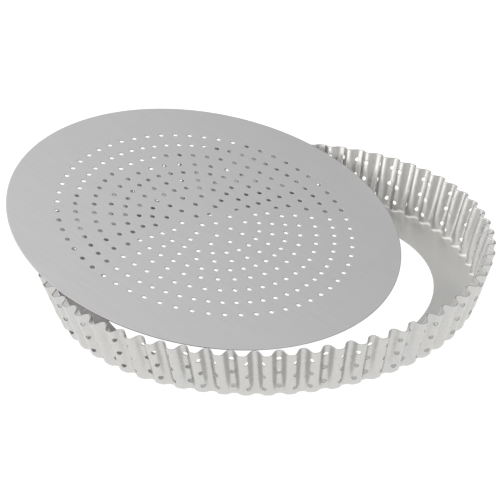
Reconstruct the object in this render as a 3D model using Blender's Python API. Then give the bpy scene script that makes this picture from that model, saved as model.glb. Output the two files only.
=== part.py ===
"""A perforated, fluted tart tin: a pressed steel ring with an inward ledge, and its loose base.

Metres, +Z up. The ring stands on z = 0. The base leans in the ring: its low edge, towards +X, stands on
the ground inside the ledge's opening, and its underside rests on the ring's cut top edge. The origin is
on the ground below the middle of the two together.
"""

import math

import bmesh
import bpy
from mathutils import Vector
from mathutils.geometry import delaunay_2d_cdt

# Ring
RIM_RADIUS = 0.1388  # the flutes' crests, at the cut top edge
HEIGHT = 0.033
FLARE = 0.0105  # how far the foot of the wall stands in from the rim
SHEET = 0.0006  # thickness of both pressings
FLUTE_PAIRS = 32  # the holes repeat every second flute
RIM_FLUTE_DEPTH = 0.0050
FOOT_FLUTE_DEPTH = 0.0022
FOLD_SHARPNESS = 1.1  # above 1, the outward lobes are wider than the folds between them
LEDGE_WIDTH = 0.0236  # from the foot of the folds to the opening

# Base
BASE_CLEARANCE = 0.0028  # between the seated base and the folds around it
BASE_TILT = math.radians(14.6)
REST_GAP = 0.0003  # between the leaning base and what it rests on

# Perforation
HOLE_DIAMETER = 0.0028
FIRST_ROW = 0.0063  # height of the wall's lowest row of holes
RIM_MARGIN = 0.0065  # from the highest row up to the rim
WALL_ROWS = 3
PLAIN_BORDER = 0.031  # from the base's edge in to its outer ring of holes
# Each ring of holes in the base: its radius as a share of the outer ring's, its holes, and its first angle.
BASE_RINGS = (
    (1.0, 60, 3.0),
    (0.878, 60, 3.0),
    (0.754, 48, 0.0),
    (0.642, 36, 5.0),
    (0.546, 36, 5.0),
    (0.454, 24, 0.0),
    (0.364, 24, 0.0),
    (0.267, 12, 15.0),
    (0.177, 8, 17.0),
    (0.070, 4, 17.0),
)

# Facets
HOLE_SIDES = 6
ROUND_SIDES = 96
FACET_WEB = 0.0002  # what a narrow facet keeps on each side of a hole
MERGE = 1e-6

FLUTES = 2 * FLUTE_PAIRS
FLUTE_ANGLE = 2 * math.pi / FLUTES
FOOT_RADIUS = RIM_RADIUS - FLARE
FOOT_FOLD_RADIUS = FOOT_RADIUS - FOOT_FLUTE_DEPTH - SHEET
OPENING_RADIUS = FOOT_FOLD_RADIUS - LEDGE_WIDTH
BASE_RADIUS = FOOT_FOLD_RADIUS - BASE_CLEARANCE
HOLE_FIELD_RADIUS = BASE_RADIUS - PLAIN_BORDER
ROW_PITCH = (HEIGHT - RIM_MARGIN - FIRST_ROW) / (WALL_ROWS - 1)
ROW_HEIGHTS = [FIRST_ROW + row * ROW_PITCH for row in range(WALL_ROWS)]

# A flute's facets, as shares of its angle from one crest to the next: a lobe side, a flank, the fold, a flank
# and a lobe side. Holes sit in the middle of the lobe sides and of the fold.
HOLE_HALF_WIDTH = HOLE_DIAMETER / 2 * math.cos(math.pi / HOLE_SIDES)
FOLD_HALF_SHARE = (HOLE_HALF_WIDTH + FACET_WEB) / (FOOT_FOLD_RADIUS * FLUTE_ANGLE)
FACET_EDGES = (0.0, 1 / 3, 0.5 - FOLD_HALF_SHARE, 0.5 + FOLD_HALF_SHARE, 2 / 3)
LOBE_START, FOLD, LOBE_END = 0, 2, 4
PIERCED_FACETS = ((LOBE_START, LOBE_END), (FOLD,))  # in the first and the second flute of each pair
FIRST_CREST = -FLUTE_ANGLE / 2  # so that a plain fold points along +X


def lean():
    """The centre of the leaning base, measured from the ring's axis."""
    uphill = HEIGHT / math.sin(BASE_TILT) - BASE_RADIUS
    half_chord = math.sqrt(BASE_RADIUS**2 - uphill**2)
    rim_fold_radius = RIM_RADIUS - RIM_FLUTE_DEPTH - SHEET
    contact_x = -math.sqrt(rim_fold_radius**2 - half_chord**2)
    x = contact_x + uphill * math.cos(BASE_TILT) + SHEET / 2 * math.sin(BASE_TILT)
    z = REST_GAP + BASE_RADIUS * math.sin(BASE_TILT) + SHEET / 2 * math.cos(BASE_TILT)
    return Vector((x, 0, z))


BASE_CENTRE = lean()
HIGH_EDGE_X = BASE_CENTRE.x - BASE_RADIUS * math.cos(BASE_TILT) - SHEET / 2 * math.sin(BASE_TILT)
RING_REACH = RIM_RADIUS * math.cos(FLUTE_ANGLE / 2)
ORIGIN = Vector(((min(HIGH_EDGE_X, -RING_REACH) + RING_REACH) / 2, 0, 0))


def polygon(radius, sides, centre=(0, 0), first=0.0):
    """The corners of a regular polygon, anticlockwise."""
    turns = [first + 2 * math.pi * side / sides for side in range(sides)]
    return [Vector((centre[0] + radius * math.cos(t), centre[1] + radius * math.sin(t))) for t in turns]


def hole_at(centre):
    """A punched hole's outline, with a corner at its top and one at its bottom."""
    return polygon(HOLE_DIAMETER / 2, HOLE_SIDES, centre, math.pi / 2)


def fill_around(outline, holes):
    """The triangles that fill an outline around its holes, each as three points, anticlockwise."""
    points = []
    edges = []
    inner_circles = []
    for loop in (outline, *holes):
        first = len(points)
        points.extend(loop)
        edges.extend((first + i, first + (i + 1) % len(loop)) for i in range(len(loop)))
    for hole in holes:
        radius = (hole[0] - hole[len(hole) // 2]).length / 2 * math.cos(math.pi / len(hole))
        inner_circles.append((sum(hole, Vector((0, 0))) / len(hole), radius))
    corners, _, faces, *_ = delaunay_2d_cdt(points, edges, [], 1, MERGE / 10)
    triangles = []
    for face in faces:
        triangle = [corners[i] for i in face]
        middle = sum(triangle, Vector((0, 0))) / 3
        if all((middle - centre).length > radius for centre, radius in inner_circles):
            triangles.append(triangle)
    return triangles


def add_faces(mesh, triangles, place, flip=False):
    """Adds flat triangles to a mesh, each point moved by place."""
    for triangle in triangles:
        corners = [mesh.verts.new(place(point)) for point in triangle]
        mesh.faces.new(reversed(corners) if flip else corners)


def add_edge_strip(mesh, loop, front, back):
    """Closes the thickness of the sheet along a closed loop."""
    for start, end in zip(loop, loop[1:] + loop[:1]):
        corners = (front(start), front(end), back(end), back(start))
        mesh.faces.new([mesh.verts.new(corner) for corner in corners])


def finish(mesh, name, material):
    """Makes one named object of a mesh whose faces meet edge to edge."""
    bmesh.ops.remove_doubles(mesh, verts=mesh.verts, dist=MERGE)
    bmesh.ops.recalc_face_normals(mesh, faces=mesh.faces)
    data = bpy.data.meshes.new(name)
    mesh.to_mesh(data)
    mesh.free()
    data.shade_smooth()
    data.set_sharp_from_angle(angle=math.radians(35))
    data.materials.append(material)
    piece = bpy.data.objects.new(name, data)
    bpy.context.scene.collection.objects.link(piece)
    return piece


def steel(name, colour, roughness):
    material = bpy.data.materials.new(name)
    material.use_nodes = True
    shader = material.node_tree.nodes["Principled BSDF"]
    shader.inputs["Base Color"].default_value = (*colour, 1)
    shader.inputs["Metallic"].default_value = 1
    shader.inputs["Roughness"].default_value = roughness
    return material


def fold_depth(share):
    """How far a flute has folded inwards at a share of its angle: 0 at the crests, 1 in the fold."""
    return (0.5 - 0.5 * math.cos(2 * math.pi * share)) ** FOLD_SHARPNESS


def wall_radius(share, height, inside):
    """The radius of the wall's outer or inner face at a share of a flute's angle."""
    up = height / HEIGHT
    crest = FOOT_RADIUS + FLARE * up
    depth = FOOT_FLUTE_DEPTH + (RIM_FLUTE_DEPTH - FOOT_FLUTE_DEPTH) * up
    radius = crest - depth * fold_depth(share)
    if not inside:
        return radius
    step = 0.01
    rise = depth * (fold_depth(share + step) - fold_depth(share - step))
    slope = rise / (2 * step * FLUTE_ANGLE * radius)
    return radius - SHEET * math.sqrt(1 + slope**2)


def wall_point(flute, share, height, inside):
    angle = FIRST_CREST + (flute + share) * FLUTE_ANGLE
    radius = wall_radius(share, height, inside)
    return Vector((radius * math.cos(angle), radius * math.sin(angle), height))


def facet_ends(facet):
    return FACET_EDGES[facet], (*FACET_EDGES, 1.0)[facet + 1]


def add_facet(mesh, flute, facet):
    """Adds both faces of one flat strip of the wall, foot to rim, with its holes and its top edge."""
    start, end = facet_ends(facet)
    width = (wall_point(flute, end, HEIGHT / 2, False) - wall_point(flute, start, HEIGHT / 2, False)).length

    def face(inside):
        def place(point):
            left = wall_point(flute, start, point.y, inside)
            right = wall_point(flute, end, point.y, inside)
            return left.lerp(right, point.x / width)

        return place

    outer = face(False)
    inner = face(True)
    holes = []
    if facet in PIERCED_FACETS[flute % 2]:
        holes = [hole_at((width / 2, height)) for height in ROW_HEIGHTS]
    for place, foot in ((outer, 0.0), (inner, SHEET)):
        outline = [Vector(corner) for corner in ((0, foot), (width, foot), (width, HEIGHT), (0, HEIGHT))]
        add_faces(mesh, fill_around(outline, holes), place, flip=place is inner)
    for hole in holes:
        add_edge_strip(mesh, hole, outer, inner)
    top = [Vector((0, HEIGHT)), Vector((width, HEIGHT))]
    mesh.faces.new([mesh.verts.new(corner) for corner in (*map(outer, top), *map(inner, reversed(top)))])


def build_ring(material):
    """The fluted wall and the flat ledge that turns inwards at its foot, one pressing."""
    mesh = bmesh.new()
    for flute in range(FLUTES):
        for facet in range(len(FACET_EDGES)):
            add_facet(mesh, flute, facet)

    def place_at(height):
        return lambda point: Vector((point.x, point.y, height))

    opening = polygon(OPENING_RADIUS, ROUND_SIDES)
    stations = [(flute, share) for flute in range(FLUTES) for share in FACET_EDGES]
    for height, inside in ((0.0, False), (SHEET, True)):
        foot = [wall_point(flute, share, height, inside).to_2d() for flute, share in stations]
        add_faces(mesh, fill_around(foot, [opening]), place_at(height), flip=not inside)
    add_edge_strip(mesh, opening, place_at(SHEET), place_at(0.0))
    ring = finish(mesh, "fluted_ring", material)
    ring.location = -ORIGIN
    return ring


def build_base(material):
    """The flat perforated disc, modelled about its own centre and then leant in the ring."""
    mesh = bmesh.new()
    outline = polygon(BASE_RADIUS, ROUND_SIDES)
    holes = []
    for share, count, first in BASE_RINGS:
        centres = polygon(share * HOLE_FIELD_RADIUS, count, first=math.radians(first))
        holes.extend(hole_at(centre) for centre in centres)

    def top(point):
        return Vector((point.x, point.y, SHEET / 2))

    def underside(point):
        return Vector((point.x, point.y, -SHEET / 2))

    sheet = fill_around(outline, holes)
    add_faces(mesh, sheet, top)
    add_faces(mesh, sheet, underside, flip=True)
    for loop in (outline, *holes):
        add_edge_strip(mesh, loop, top, underside)
    base = finish(mesh, "loose_base", material)
    base.location = BASE_CENTRE - ORIGIN
    base.rotation_euler.y = BASE_TILT
    return base


def main():
    for leftover in list(bpy.data.objects):
        bpy.data.objects.remove(leftover)
    build_ring(steel("bright_steel", (0.66, 0.65, 0.63), 0.3))
    build_base(steel("satin_steel", (0.56, 0.56, 0.57), 0.4))


main()
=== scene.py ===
"""The tart tin's looks: finely meshed ring and base in satin tin plate, on a white studio floor.

Everything is in metres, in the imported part's own frame. The sizes below are those of the part's source, and
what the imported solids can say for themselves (places, radii, height, lean) is read from their boxes.
"""

import math

import bmesh
import bpy
import numpy as np
from mathutils import Matrix, Vector
from mathutils.geometry import delaunay_2d_cdt


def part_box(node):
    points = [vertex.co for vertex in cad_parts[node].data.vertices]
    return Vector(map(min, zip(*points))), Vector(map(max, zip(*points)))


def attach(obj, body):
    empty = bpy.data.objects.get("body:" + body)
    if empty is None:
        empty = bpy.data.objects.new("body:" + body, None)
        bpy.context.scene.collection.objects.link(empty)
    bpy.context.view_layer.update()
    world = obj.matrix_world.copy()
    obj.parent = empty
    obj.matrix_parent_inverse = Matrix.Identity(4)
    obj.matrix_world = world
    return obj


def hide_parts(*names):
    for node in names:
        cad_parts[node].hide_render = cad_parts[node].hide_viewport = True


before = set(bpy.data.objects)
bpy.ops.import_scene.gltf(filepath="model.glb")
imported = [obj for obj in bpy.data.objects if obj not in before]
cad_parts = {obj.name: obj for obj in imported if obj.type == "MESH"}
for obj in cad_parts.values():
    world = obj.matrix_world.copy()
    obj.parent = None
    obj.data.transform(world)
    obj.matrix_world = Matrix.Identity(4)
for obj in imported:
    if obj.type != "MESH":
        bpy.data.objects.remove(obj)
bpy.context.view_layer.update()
RING_LOW, RING_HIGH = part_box("fluted_ring")
BASE_LOW, BASE_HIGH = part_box("loose_base")

# Ring
SHEET = 0.0006  # thickness of both pressings
FLUTES = 64
FLUTE_ANGLE = 2 * math.pi / FLUTES
FIRST_CREST = -FLUTE_ANGLE / 2
HEIGHT = RING_HIGH.z
RIM_RADIUS = (RING_HIGH.y - RING_LOW.y) / 2 / math.cos(FLUTE_ANGLE / 2)
RING_CENTRE = Vector(((RING_LOW.x + RING_HIGH.x) / 2, 0, 0))
FLARE = 0.0105  # how far the foot of the wall stands in from the rim
FOOT_RADIUS = RIM_RADIUS - FLARE
FOOT_FLUTE_DEPTH = 0.0022
RIM_FLUTE_DEPTH = 0.0050
FLANK_STEEPNESS = 1.45  # near 0 the flutes are a plain wave, and more makes their flanks steeper
LOBE_LEAD = 0.2  # above 0, the outward lobes are wider than the folds between them
RIM_WAVE = 0.0013  # how far the cut edge dips at the crests, where the flare has drawn the sheet outwards
LEDGE_WIDTH = 0.0236  # from the foot of the folds to the opening
OPENING_RADIUS = FOOT_RADIUS - FOOT_FLUTE_DEPTH - SHEET - LEDGE_WIDTH
BEND = 0.0024  # how far the bend between ledge and wall reaches along each of them

# Base
BASE_RADIUS = (BASE_HIGH.y - BASE_LOW.y) / 2
PLAIN_BORDER = 0.031  # from the base's edge in to its outer ring of holes
HOLE_FIELD_RADIUS = BASE_RADIUS - PLAIN_BORDER
# Each ring of holes: its radius as a share of the outer ring's, its holes, and its first angle.
BASE_RINGS = (
    (1.0, 60, 3.0),
    (0.878, 60, 3.0),
    (0.754, 48, 0.0),
    (0.642, 36, 5.0),
    (0.546, 36, 5.0),
    (0.454, 24, 0.0),
    (0.364, 24, 0.0),
    (0.267, 12, 15.0),
    (0.177, 8, 17.0),
    (0.070, 4, 17.0),
)

# Holes
HOLE_RADIUS = 0.0014
HOLE_COLUMNS = FLUTES * 3 // 2
COLUMN_SPAN = FLUTES / HOLE_COLUMNS  # in flutes
FIRST_COLUMN = 1 / 6  # in flutes, from the first crest
WALL_ROWS = 3
FIRST_ROW = 0.0063  # height of the wall's lowest row of holes
RIM_MARGIN = 0.0065  # from the highest row up to the rim
ROW_HEIGHTS = np.linspace(FIRST_ROW, HEIGHT - RIM_MARGIN, WALL_ROWS)
RIM_STRIP = 0.0010  # the plain strip between the highest row's patches and the rim
ROW_BORDERS = (ROW_HEIGHTS[:-1] + ROW_HEIGHTS[1:]) / 2
ROW_EDGES = (BEND, *ROW_BORDERS, HEIGHT - RIM_STRIP)
EDGE_ROUND = 0.00012  # radius of the cut edges
EDGE_STRIP = 4 * EDGE_ROUND  # the narrow strip that holds the flat sheet's shading beside a cut edge

# Fineness
CELL_SIDE = 14  # mesh steps along each side of the patch around a hole
CELL_RINGS = (0.0, 0.07, 0.27, 0.5, 0.75, 1.0)  # from the hole's edge to the patch's
LEDGE_STEPS = (0.15, 0.3, 0.45, 0.6, 0.75, 0.88, 1.0)  # from the opening to the bend
BEND_STEPS = (0.15, 0.3, 0.45, 0.6, 0.75, 0.9, 1.0)  # round the bend
BASE_HOLE_SIDES = 28
BASE_ROUND_SIDES = 360
STEP = 1e-4  # for slopes
MERGE = 1e-7
HOLE_SHARE = 0.99  # what lies within this share of a hole's radius is in the hole

# Tin plate, in noise cells per metre and in metres
BLOTCHES = 28
STREAKS = 420
DIMPLES = 480
DIMPLES_START = 0.001  # the heights between which the pressing's dimples set in
DIMPLES_FULL = 0.006
RELIEF = 0.00002
RELIEF_STRENGTH = 0.1
EDGE_DULLNESS = 0.2  # how much rougher the sheared edges are

# Camera
VIEW_AZIMUTH = math.radians(37.27)
VIEW_ELEVATION = math.radians(27.88)
VIEW_ROLL = math.radians(1.84)
VIEW_DISTANCE = 1.1375
VIEW_RIGHT = 0.00966  # how far right and down of the picture's middle the ring's centre lies
VIEW_DOWN = 0.02075
LENS = 134.2
SENSOR = 36
NEAREST = 0.05
FARTHEST = 50

# Studio. A height is the sine of how far up a direction of the world points.
FLOOR_SIZE = 12
FLOOR_SHADE = 0.12  # dark under its own glow, so that shadows on it stay faint
BACK_LOW = 0.42  # the world's strength behind the tin, low down and higher up
BACK_HIGH = 1.2
BACK_RISE = (0.42, 0.72)  # the heights between which it grows
BACK_SLANT = 0.3  # how much brighter it is towards the left, and dimmer towards the right
FRONT = 0.7  # what the camera's side adds, low down
LEFT = 1.1  # what the left side adds, low down
SIDES_FADE = (0.3, 0.6)  # the heights between which both of them fade out
SOFTBOX_TURN = 60  # degrees to each side of the camera
SOFTBOX_ELEVATION = 12
SOFTBOX_DISTANCE = 1.6
SOFTBOX_SIZE = 1.3
SOFTBOX_RADIANCE = 0.2


def fold_share(station):
    """How far the wall has folded inwards: 0 at the crests, 1 in the folds. Stations count flutes."""
    inwards = np.tanh(FLANK_STEEPNESS * (-np.cos(2 * math.pi * station) - LOBE_LEAD))
    crest = math.tanh(FLANK_STEEPNESS * (-1 - LOBE_LEAD))
    fold = math.tanh(FLANK_STEEPNESS * (1 - LOBE_LEAD))
    return (inwards - crest) / (fold - crest)


def wall_radius(station, height):
    """The radius of the wall's outer face. The flutes deepen quickly above the foot."""
    up = height / HEIGHT
    crest = FOOT_RADIUS + (RIM_RADIUS - FOOT_RADIUS) * up
    depth = RIM_FLUTE_DEPTH - (RIM_FLUTE_DEPTH - FOOT_FLUTE_DEPTH) * np.clip(1 - up, 0, 1) ** 3
    return crest - depth * fold_share(station)


def wall_length(station):
    """The wall's height above the bend, up to its cut edge."""
    return HEIGHT - RIM_WAVE * (1 - fold_share(station)) - BEND


def path_at(height):
    """The place along the sheet's section of a height in the folds."""
    return 2 + (height - BEND) / (HEIGHT - BEND)


def outer_point(station, path):
    """A point of the ring's outer face.

    The path runs along the sheet's section: 0 at the opening, 1 to 2 round the bend, 3 at the rim.
    """
    station, path = np.broadcast_arrays(station, path)
    foot = wall_radius(station, 0 * path)
    bend_top = wall_radius(station, BEND + 0 * path)
    height = BEND + wall_length(station) * (path - 2)
    turn = np.clip(path - 1, 0, 1)
    bend_radius = (foot - BEND) * (1 - turn) ** 2 + 2 * foot * turn * (1 - turn) + bend_top * turn**2
    ledge_radius = OPENING_RADIUS + (foot - BEND - OPENING_RADIUS) * path
    radius = np.where(path < 1, ledge_radius, np.where(path < 2, bend_radius, wall_radius(station, height)))
    level = np.where(path < 1, 0, np.where(path < 2, BEND * turn**2, height))
    angle = FIRST_CREST + station * FLUTE_ANGLE
    return np.stack((radius * np.cos(angle), radius * np.sin(angle), level), axis=-1)


def outer_normal(station, path):
    along = outer_point(station + STEP, path) - outer_point(station - STEP, path)
    up = outer_point(station, path + STEP) - outer_point(station, path - STEP)
    normal = np.cross(along, up)
    return normal / np.linalg.norm(normal, axis=-1, keepdims=True)


def sheet_point(station, path, depth):
    """A point in the ring's sheet at a depth below its outer face."""
    return outer_point(station, path) - depth * outer_normal(station, path)


class Bands:
    """A mesh gathered from closed loops of points, each loop joined to the next."""

    def __init__(self):
        self.points = []
        self.faces = []
        self.cut = []
        self.count = 0

    def add(self, loops, cut=0.0):
        """Adds loops of points. Cut is 1 where the sheet was sheared or punched, and 0 on its faces."""
        size = len(loops[0])
        self.points.extend(loops)
        for row in range(len(loops) - 1):
            low = self.count + row * size
            for i in range(size):
                j = (i + 1) % size
                self.faces.append((low + i, low + j, low + size + j, low + size + i))
        self.cut.extend([cut] * size * (len(loops) - 1))
        self.count += size * len(loops)

    def add_flat(self, points, triangles):
        """Adds triangles of the sheet's flat face, given as indices into their own points."""
        self.points.append(points)
        self.faces.extend((triangles + self.count).tolist())
        self.cut.extend([0.0] * len(triangles))
        self.count += len(points)

    def build(self, name):
        data = bpy.data.meshes.new(name)
        data.from_pydata(np.concatenate(self.points).tolist(), [], self.faces)
        data.attributes.new("cut", "FLOAT", "FACE").data.foreach_set("value", self.cut)
        return finish_mesh(data, name)


def finish_mesh(data, name):
    """Welds the seams of a mesh, turns its faces outwards and puts it in the scene as one smooth piece."""
    mesh = bmesh.new()
    mesh.from_mesh(data)
    bmesh.ops.remove_doubles(mesh, verts=mesh.verts, dist=MERGE)
    bmesh.ops.recalc_face_normals(mesh, faces=mesh.faces)
    mesh.to_mesh(data)
    mesh.free()
    data.shade_smooth()
    piece = bpy.data.objects.new(name, data)
    bpy.context.scene.collection.objects.link(piece)
    return piece


def cell_frame():
    """A square's outline from -1 to 1, starting at a corner, and the unit circle's points beside it."""
    side = np.arange(CELL_SIDE) / CELL_SIDE * 2 - 1
    ones = np.ones(CELL_SIDE)
    sides = ((side, -ones), (ones, side), (-side, ones), (-ones, -side))
    square = np.concatenate([np.stack(pair, axis=-1) for pair in sides])
    turn = -0.75 * math.pi + 2 * math.pi * np.arange(4 * CELL_SIDE) / (4 * CELL_SIDE)
    return square, np.stack((np.cos(turn), np.sin(turn)), axis=-1)


def hole_metric(column, height):
    """Flutes per metre across a hole and path per metre up it, so that it comes out round in the sheet."""
    across = outer_point(column + STEP, path_at(height)) - outer_point(column - STEP, path_at(height))
    up = outer_point(column, path_at(height) + STEP) - outer_point(column, path_at(height) - STEP)
    return 2 * STEP / np.linalg.norm(across), 2 * STEP / np.linalg.norm(up)


def add_cell(mesh, column, row):
    """Adds both faces of the wall's patch around one punched hole, and the hole's rounded edge."""
    middle = FIRST_COLUMN + column * COLUMN_SPAN
    path = path_at(ROW_HEIGHTS[row])
    per_across, per_up = hole_metric(np.float64(middle), ROW_HEIGHTS[row])
    square, circle = cell_frame()
    low = path_at(ROW_EDGES[row])
    high = path_at(ROW_EDGES[row + 1])
    outline_stations = middle + square[:, 0] * COLUMN_SPAN / 2
    outline_paths = (low + high) / 2 + square[:, 1] * (high - low) / 2
    outline = np.stack((outline_stations, outline_paths), axis=-1)

    def ring_at(radius):
        stations = middle + circle[:, 0] * radius * per_across
        return np.stack((stations, path + circle[:, 1] * radius * per_up), axis=-1)

    lip = ring_at(HOLE_RADIUS + EDGE_ROUND)
    edge = ring_at(HOLE_RADIUS)
    for depth in (0.0, SHEET):
        mesh.add([sheet_point(*(lip + share * (outline - lip)).T, depth) for share in CELL_RINGS])
    punched = ((lip, 0.0), (edge, EDGE_ROUND), (edge, SHEET - EDGE_ROUND), (lip, SHEET))
    mesh.add([sheet_point(*loop.T, depth) for loop, depth in punched], cut=1.0)


def rim_loop(stations, below, depth):
    """The loop of the sheet at a depth that lies a little below its cut edge."""
    rise = -outer_normal(stations, 3 - STEP)[:, 2] * depth
    return sheet_point(stations, 3 - (below + rise) / wall_length(stations), depth)


def build_ring():
    """The fluted, perforated wall, the bend at its foot and the flat ledge, one pressing."""
    mesh = Bands()
    for column in range(HOLE_COLUMNS):
        for row in range(WALL_ROWS):
            add_cell(mesh, column, row)
    steps = np.arange(HOLE_COLUMNS * CELL_SIDE) / CELL_SIDE
    stations = FIRST_COLUMN - COLUMN_SPAN / 2 + steps * COLUMN_SPAN
    ledge_length = FOOT_RADIUS - OPENING_RADIUS
    opening = EDGE_ROUND / ledge_length
    paths = (opening, EDGE_STRIP / ledge_length, *LEDGE_STEPS, *(1 + step for step in BEND_STEPS))
    for depth in (0.0, SHEET):
        cells_top = sheet_point(stations, path_at(ROW_EDGES[-1]), depth)
        mesh.add([cells_top, *(rim_loop(stations, below, depth) for below in (EDGE_STRIP, EDGE_ROUND))])
        mesh.add([sheet_point(stations, np.float64(path), depth) for path in paths])
    rim = ((EDGE_ROUND, 0.0), (0.0, EDGE_ROUND), (0.0, SHEET - EDGE_ROUND), (EDGE_ROUND, SHEET))
    mesh.add([rim_loop(stations, below, depth) for below, depth in rim], cut=1.0)
    ledge_edge = ((opening, 0.0), (0.0, EDGE_ROUND), (0.0, SHEET - EDGE_ROUND), (opening, SHEET))
    mesh.add([sheet_point(stations, np.float64(path), depth) for path, depth in ledge_edge], cut=1.0)
    ring = mesh.build("pierced_fluted_ring")
    ring.location = RING_CENTRE
    return ring


def circle_points(centre, radius, sides):
    turn = 2 * math.pi * np.arange(sides) / sides
    return np.stack((centre[0] + radius * np.cos(turn), centre[1] + radius * np.sin(turn)), axis=-1)


def flat_fill(outline, holes):
    """The triangles that fill an outline around round holes, as indices into the listed points."""
    loops = [outline, *holes]
    points = [Vector(point) for loop in loops for point in loop]
    edges = []
    first = 0
    for loop in loops:
        edges.extend((first + i, first + (i + 1) % len(loop)) for i in range(len(loop)))
        first += len(loop)
    corners, _, faces, *_ = delaunay_2d_cdt(points, edges, [], 1, MERGE)
    flat = np.array([tuple(corner) for corner in corners])
    triangles = np.array([tuple(face) for face in faces])
    middles = flat[triangles].mean(axis=1)
    kept = np.ones(len(triangles), bool)
    for hole in holes:
        centre = hole.mean(axis=0)
        kept &= np.linalg.norm(middles - centre, axis=1) >= HOLE_SHARE * np.linalg.norm(hole[0] - centre)
    return flat, triangles[kept]


def with_height(points, height):
    return np.column_stack((points, np.full(len(points), height)))


def add_round_edge(mesh, centre, radius, sides, outwards):
    """Adds a closed round edge of the disc: a narrow strip on both faces, and the rounded cut between them.

    Outwards is 1 for the disc's own edge, and -1 for a hole's.
    """
    half = SHEET / 2

    def loop(back, height):
        return with_height(circle_points(centre, radius - outwards * back, sides), height)

    mesh.add([loop(EDGE_STRIP, half), loop(EDGE_ROUND, half)])
    cut = ((EDGE_ROUND, half), (0, half - EDGE_ROUND), (0, EDGE_ROUND - half), (EDGE_ROUND, -half))
    mesh.add([loop(back, height) for back, height in cut], cut=1.0)
    mesh.add([loop(EDGE_ROUND, -half), loop(EDGE_STRIP, -half)])


def build_base():
    """The flat disc with its rings of round holes, made about its own centre and leant as the solid is."""
    centres = []
    for share, count, first in BASE_RINGS:
        turns = math.radians(first) + 2 * math.pi * np.arange(count) / count
        centres.extend(share * HOLE_FIELD_RADIUS * np.stack((np.cos(turns), np.sin(turns)), axis=-1))
    mesh = Bands()
    add_round_edge(mesh, (0, 0), BASE_RADIUS, BASE_ROUND_SIDES, 1)
    for centre in centres:
        add_round_edge(mesh, centre, HOLE_RADIUS, BASE_HOLE_SIDES, -1)
    outline = circle_points((0, 0), BASE_RADIUS - EDGE_STRIP, BASE_ROUND_SIDES)
    holes = [circle_points(centre, HOLE_RADIUS + EDGE_STRIP, BASE_HOLE_SIDES) for centre in centres]
    flat, triangles = flat_fill(outline, holes)
    for height in (SHEET / 2, -SHEET / 2):
        mesh.add_flat(with_height(flat, height), triangles)
    base = mesh.build("pierced_loose_base")
    diameter = 2 * BASE_RADIUS
    corner_rise = math.asin((BASE_HIGH.z - BASE_LOW.z) / math.hypot(diameter, SHEET))
    base.rotation_euler.y = corner_rise - math.atan2(SHEET, diameter)
    base.location = (BASE_LOW + BASE_HIGH) / 2
    return base


def add_node(tree, kind, values=(), **settings):
    """Adds a shader node with its settings, and with the values of its numbered or named inputs."""
    node = tree.nodes.new("ShaderNode" + kind)
    for setting, value in settings.items():
        setattr(node, setting, value)
    for socket, value in values:
        node.inputs[socket].default_value = value
    return node


def noise(tree, scale, stretch=(1, 1, 1), detail=3.0):
    """Noise through the piece's own space, drawn out along the axes where stretch is small."""
    place = add_node(tree, "TexCoord")
    mapping = add_node(tree, "Mapping", [("Scale", stretch)])
    texture = add_node(tree, "TexNoise", [("Scale", scale), ("Detail", detail), ("Roughness", 0.6)])
    tree.links.new(place.outputs["Object"], mapping.inputs["Vector"])
    tree.links.new(mapping.outputs["Vector"], texture.inputs["Vector"])
    return texture.outputs["Fac"]


def spread(tree, value, low, high, start=0.3, end=0.7):
    """Maps a value from the span start to end onto low to high."""
    span = [("From Min", start), ("From Max", end), ("To Min", low), ("To Max", high)]
    node = add_node(tree, "MapRange", span)
    tree.links.new(value, node.inputs["Value"])
    return node.outputs["Result"]


def combined(tree, operation, first, second):
    node = add_node(tree, "Math", operation=operation)
    tree.links.new(first, node.inputs[0])
    tree.links.new(second, node.inputs[1])
    return node.outputs["Value"]


def total(tree, first, second):
    return combined(tree, "ADD", first, second)


def product(tree, first, second):
    return combined(tree, "MULTIPLY", first, second)


def mixed(tree, share, first, second):
    """A colour between two, each of them a colour or another node's output."""
    node = add_node(tree, "Mix", data_type="RGBA")
    tree.links.new(share, node.inputs["Factor"])
    for socket, colour in ((node.inputs[6], first), (node.inputs[7], second)):
        if isinstance(colour, tuple):
            socket.default_value = (*colour, 1)
        else:
            tree.links.new(colour, socket)
    return node.outputs[2]


def tin_plate(name, cool, warm, worn, roughness, grain, dimples):
    """Tin plate: rolling grain, faint blotches from pressing and handling, and duller, sheared edges.

    Grain stretches the streaks of the rolling. Dimples is how far the pressing has dimpled what stands above
    the ledge.
    """
    material = bpy.data.materials.new(name)
    material.use_nodes = True
    tree = material.node_tree
    shader = tree.nodes["Principled BSDF"]
    shader.inputs["Metallic"].default_value = 1
    streaks = noise(tree, STREAKS, grain, 4.0)
    blotches = noise(tree, BLOTCHES)
    edges = add_node(tree, "Attribute", attribute_name="cut").outputs["Fac"]
    height = add_node(tree, "SeparateXYZ")
    tree.links.new(add_node(tree, "TexCoord").outputs["Object"], height.inputs["Vector"])
    standing = spread(tree, height.outputs["Z"], 0, dimples, DIMPLES_START, DIMPLES_FULL)
    dimpled = product(tree, spread(tree, noise(tree, DIMPLES, detail=2.0), 0, 1), standing)

    plain = mixed(tree, spread(tree, blotches, 0, 1), cool, warm)
    brushed = mixed(tree, spread(tree, total(tree, streaks, dimpled), 0.0, 0.35, 0.3, 2.0), plain, worn)
    tree.links.new(mixed(tree, edges, brushed, worn), shader.inputs["Base Color"])

    patchy = total(tree, spread(tree, blotches, -0.03, 0.03), spread(tree, streaks, -0.03, 0.04))
    rough = total(tree, patchy, spread(tree, edges, roughness, roughness + EDGE_DULLNESS, 0, 1))
    tree.links.new(rough, shader.inputs["Roughness"])

    bump = add_node(tree, "Bump", [("Strength", RELIEF_STRENGTH), ("Distance", RELIEF)])
    tree.links.new(total(tree, dimpled, streaks), bump.inputs["Height"])
    tree.links.new(bump.outputs["Normal"], shader.inputs["Normal"])
    return material


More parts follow.
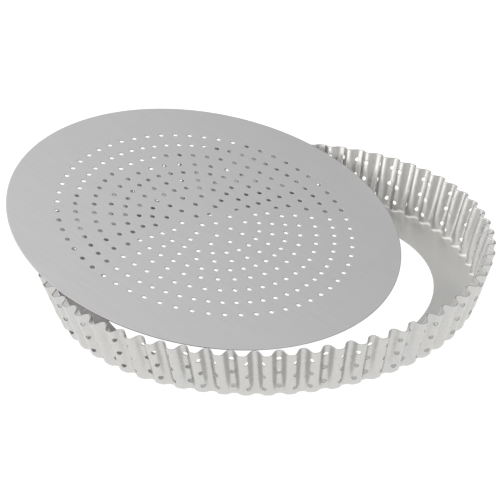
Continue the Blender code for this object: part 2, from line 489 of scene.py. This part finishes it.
def ring_plate():
    """Bright, slightly warm plate with its grain up the wall."""
    return tin_plate(
        "bright_tin_plate",
        cool=(0.585, 0.585, 0.575),
        warm=(0.605, 0.595, 0.575),
        worn=(0.42, 0.42, 0.41),
        roughness=0.34,
        grain=(1, 1, 0.06),
        dimples=1.0,
    )


def base_plate():
    """Neutral grey plate, flat and undimpled, with its grain along the lean."""
    return tin_plate(
        "satin_tin_plate",
        cool=(0.567, 0.559, 0.564),
        warm=(0.582, 0.574, 0.577),
        worn=(0.42, 0.41, 0.41),
        roughness=0.36,
        grain=(0.06, 1, 1),
        dimples=0.0,
    )


def add_floor():
    """A white sweep that glows a little, so that it stays white below the tin."""
    bpy.ops.mesh.primitive_plane_add(size=FLOOR_SIZE, location=(0, 0, 0))
    floor = bpy.context.object
    floor.name = "studio_floor"
    material = bpy.data.materials.new("white_floor")
    material.use_nodes = True
    shader = material.node_tree.nodes["Principled BSDF"]
    shader.inputs["Base Color"].default_value = (FLOOR_SHADE, FLOOR_SHADE, FLOOR_SHADE, 1)
    shader.inputs["Roughness"].default_value = 0.9
    shader.inputs["Specular IOR Level"].default_value = 0
    shader.inputs["Emission Color"].default_value = (1, 1, 1, 1)
    shader.inputs["Emission Strength"].default_value = 1.0
    floor.data.materials.append(material)


def add_softbox(name, turn):
    """A square area light that faces the tin. Its turn is measured from the camera's side, to the right."""
    around = VIEW_AZIMUTH - math.pi / 2 + math.radians(turn)
    rise = math.radians(SOFTBOX_ELEVATION)
    towards = Vector((math.cos(around) * math.cos(rise), math.sin(around) * math.cos(rise), math.sin(rise)))
    light = bpy.data.lights.new(name, "AREA")
    light.size = SOFTBOX_SIZE
    light.energy = SOFTBOX_RADIANCE * math.pi * SOFTBOX_SIZE**2
    holder = bpy.data.objects.new(name, light)
    holder.location = towards * SOFTBOX_DISTANCE
    holder.rotation_euler = towards.to_track_quat("Z", "Y").to_euler()
    bpy.context.scene.collection.objects.link(holder)


def direction_share(tree, axis, low, high, start, end):
    """How far a direction of the world turns towards an axis, mapped from start to end onto low to high."""
    place = add_node(tree, "TexCoord")
    dot = add_node(tree, "VectorMath", [(1, axis)], operation="DOT_PRODUCT")
    tree.links.new(place.outputs["Generated"], dot.inputs[0])
    return spread(tree, dot.outputs["Value"], low, high, start, end)


def add_world():
    """A pale studio: dimmest low down behind the tin, and brightest low down on its other sides."""
    world = bpy.data.worlds.new("studio")
    world.use_nodes = True
    tree = world.node_tree
    up = (0, 0, 1)
    front = (math.sin(VIEW_AZIMUTH), -math.cos(VIEW_AZIMUTH), 0)
    left = (-math.cos(VIEW_AZIMUTH), -math.sin(VIEW_AZIMUTH), 0)
    rising = direction_share(tree, up, BACK_LOW, BACK_HIGH, *BACK_RISE)
    behind = total(tree, rising, direction_share(tree, left, -BACK_SLANT, BACK_SLANT, -0.5, 0.5))
    from_front = direction_share(tree, front, 0, FRONT, -0.1, 0.5)
    from_left = direction_share(tree, left, 0, LEFT, 0.2, 0.8)
    low_down = direction_share(tree, up, 1, 0, *SIDES_FADE)
    strength = total(tree, behind, product(tree, total(tree, from_front, from_left), low_down))
    tree.links.new(strength, tree.nodes["Background"].inputs["Strength"])
    tree.nodes["Background"].inputs["Color"].default_value = (1, 1, 1, 1)
    bpy.context.scene.world = world


def add_camera():
    """A long lens, looking down on the ring from the front right of its low side."""
    flat_forward = Vector((-math.sin(VIEW_AZIMUTH), math.cos(VIEW_AZIMUTH), 0))
    right = Vector((math.cos(VIEW_AZIMUTH), math.sin(VIEW_AZIMUTH), 0))
    forward = flat_forward * math.cos(VIEW_ELEVATION) - Vector((0, 0, math.sin(VIEW_ELEVATION)))
    down = -flat_forward * math.sin(VIEW_ELEVATION) - Vector((0, 0, math.cos(VIEW_ELEVATION)))
    x_axis = math.cos(VIEW_ROLL) * right + math.sin(VIEW_ROLL) * down
    y_axis = math.sin(VIEW_ROLL) * right - math.cos(VIEW_ROLL) * down
    data = bpy.data.cameras.new("camera")
    data.lens = LENS
    data.sensor_width = SENSOR
    data.clip_start = NEAREST
    data.clip_end = FARTHEST
    camera = bpy.data.objects.new("camera", data)
    bpy.context.scene.collection.objects.link(camera)
    camera.matrix_world = Matrix((x_axis, y_axis, -forward)).transposed().to_4x4()
    camera.location = RING_CENTRE - VIEW_RIGHT * x_axis + VIEW_DOWN * y_axis - VIEW_DISTANCE * forward
    bpy.context.scene.camera = camera


ring = build_ring()
ring.data.materials.append(ring_plate())
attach(ring, "ring")
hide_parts("fluted_ring")

base = build_base()
base.data.materials.append(base_plate())
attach(base, "base")
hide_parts("loose_base")

add_floor()
add_world()
add_softbox("softbox_left", -SOFTBOX_TURN)
add_softbox("softbox_right", SOFTBOX_TURN)
add_camera()
bpy.context.scene.view_settings.view_transform = "Standard"
